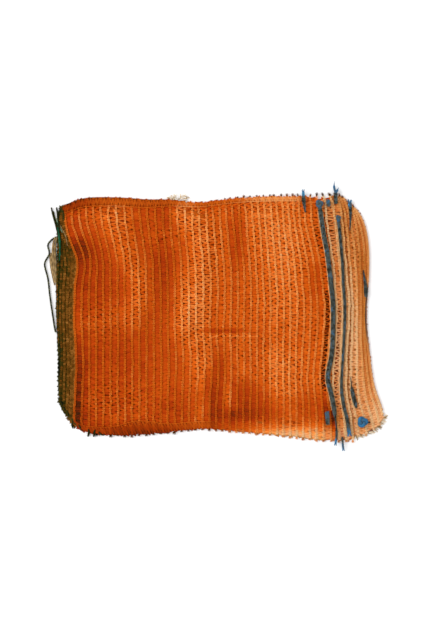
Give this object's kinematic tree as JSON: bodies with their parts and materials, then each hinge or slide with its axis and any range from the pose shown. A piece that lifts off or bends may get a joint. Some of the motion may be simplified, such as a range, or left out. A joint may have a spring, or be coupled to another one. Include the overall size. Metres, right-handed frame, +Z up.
{
  "type": "mesh citrus bag",
  "caption": "Empty knitted net bag for citrus fruit, lying flat, with drawstrings along its open mouth and a darker band at its bottom fold.",
  "frame": {"origin": "on the surface the bag lies on, below the middle of the bag and its strings", "axes": "+X from the bottom fold to the mouth, +Y across the bag to the far side seam, +Z up out of the front layer"},
  "size_m": [0.4185, 0.328, 0.0113],
  "materials": {
    "net": "orange polyethylene tape and yarn, knitted, with a soft sheen",
    "drawstring": "dark blue polyethylene yarn, knitted into a flat string",
    "bottom_yarn": "dark green polyethylene yarn"
  },
  "bodies": {
    "root": {"net_bag": "net", "front_drawstring_inner": "drawstring", "front_drawstring_outer": "drawstring", "back_drawstring_far_end": "drawstring", "back_drawstring_near_end": "drawstring", "back_drawstring_rim_stretch": "drawstring", "seam_tail_far_left": "drawstring", "seam_tail_far_middle": "drawstring", "seam_tail_far_right": "drawstring", "seam_tail_near_left": "drawstring", "seam_tail_near_right": "drawstring", "drawstring_knot": "drawstring", "loose_thread": "bottom_yarn"}
  },
  "joints": []
}
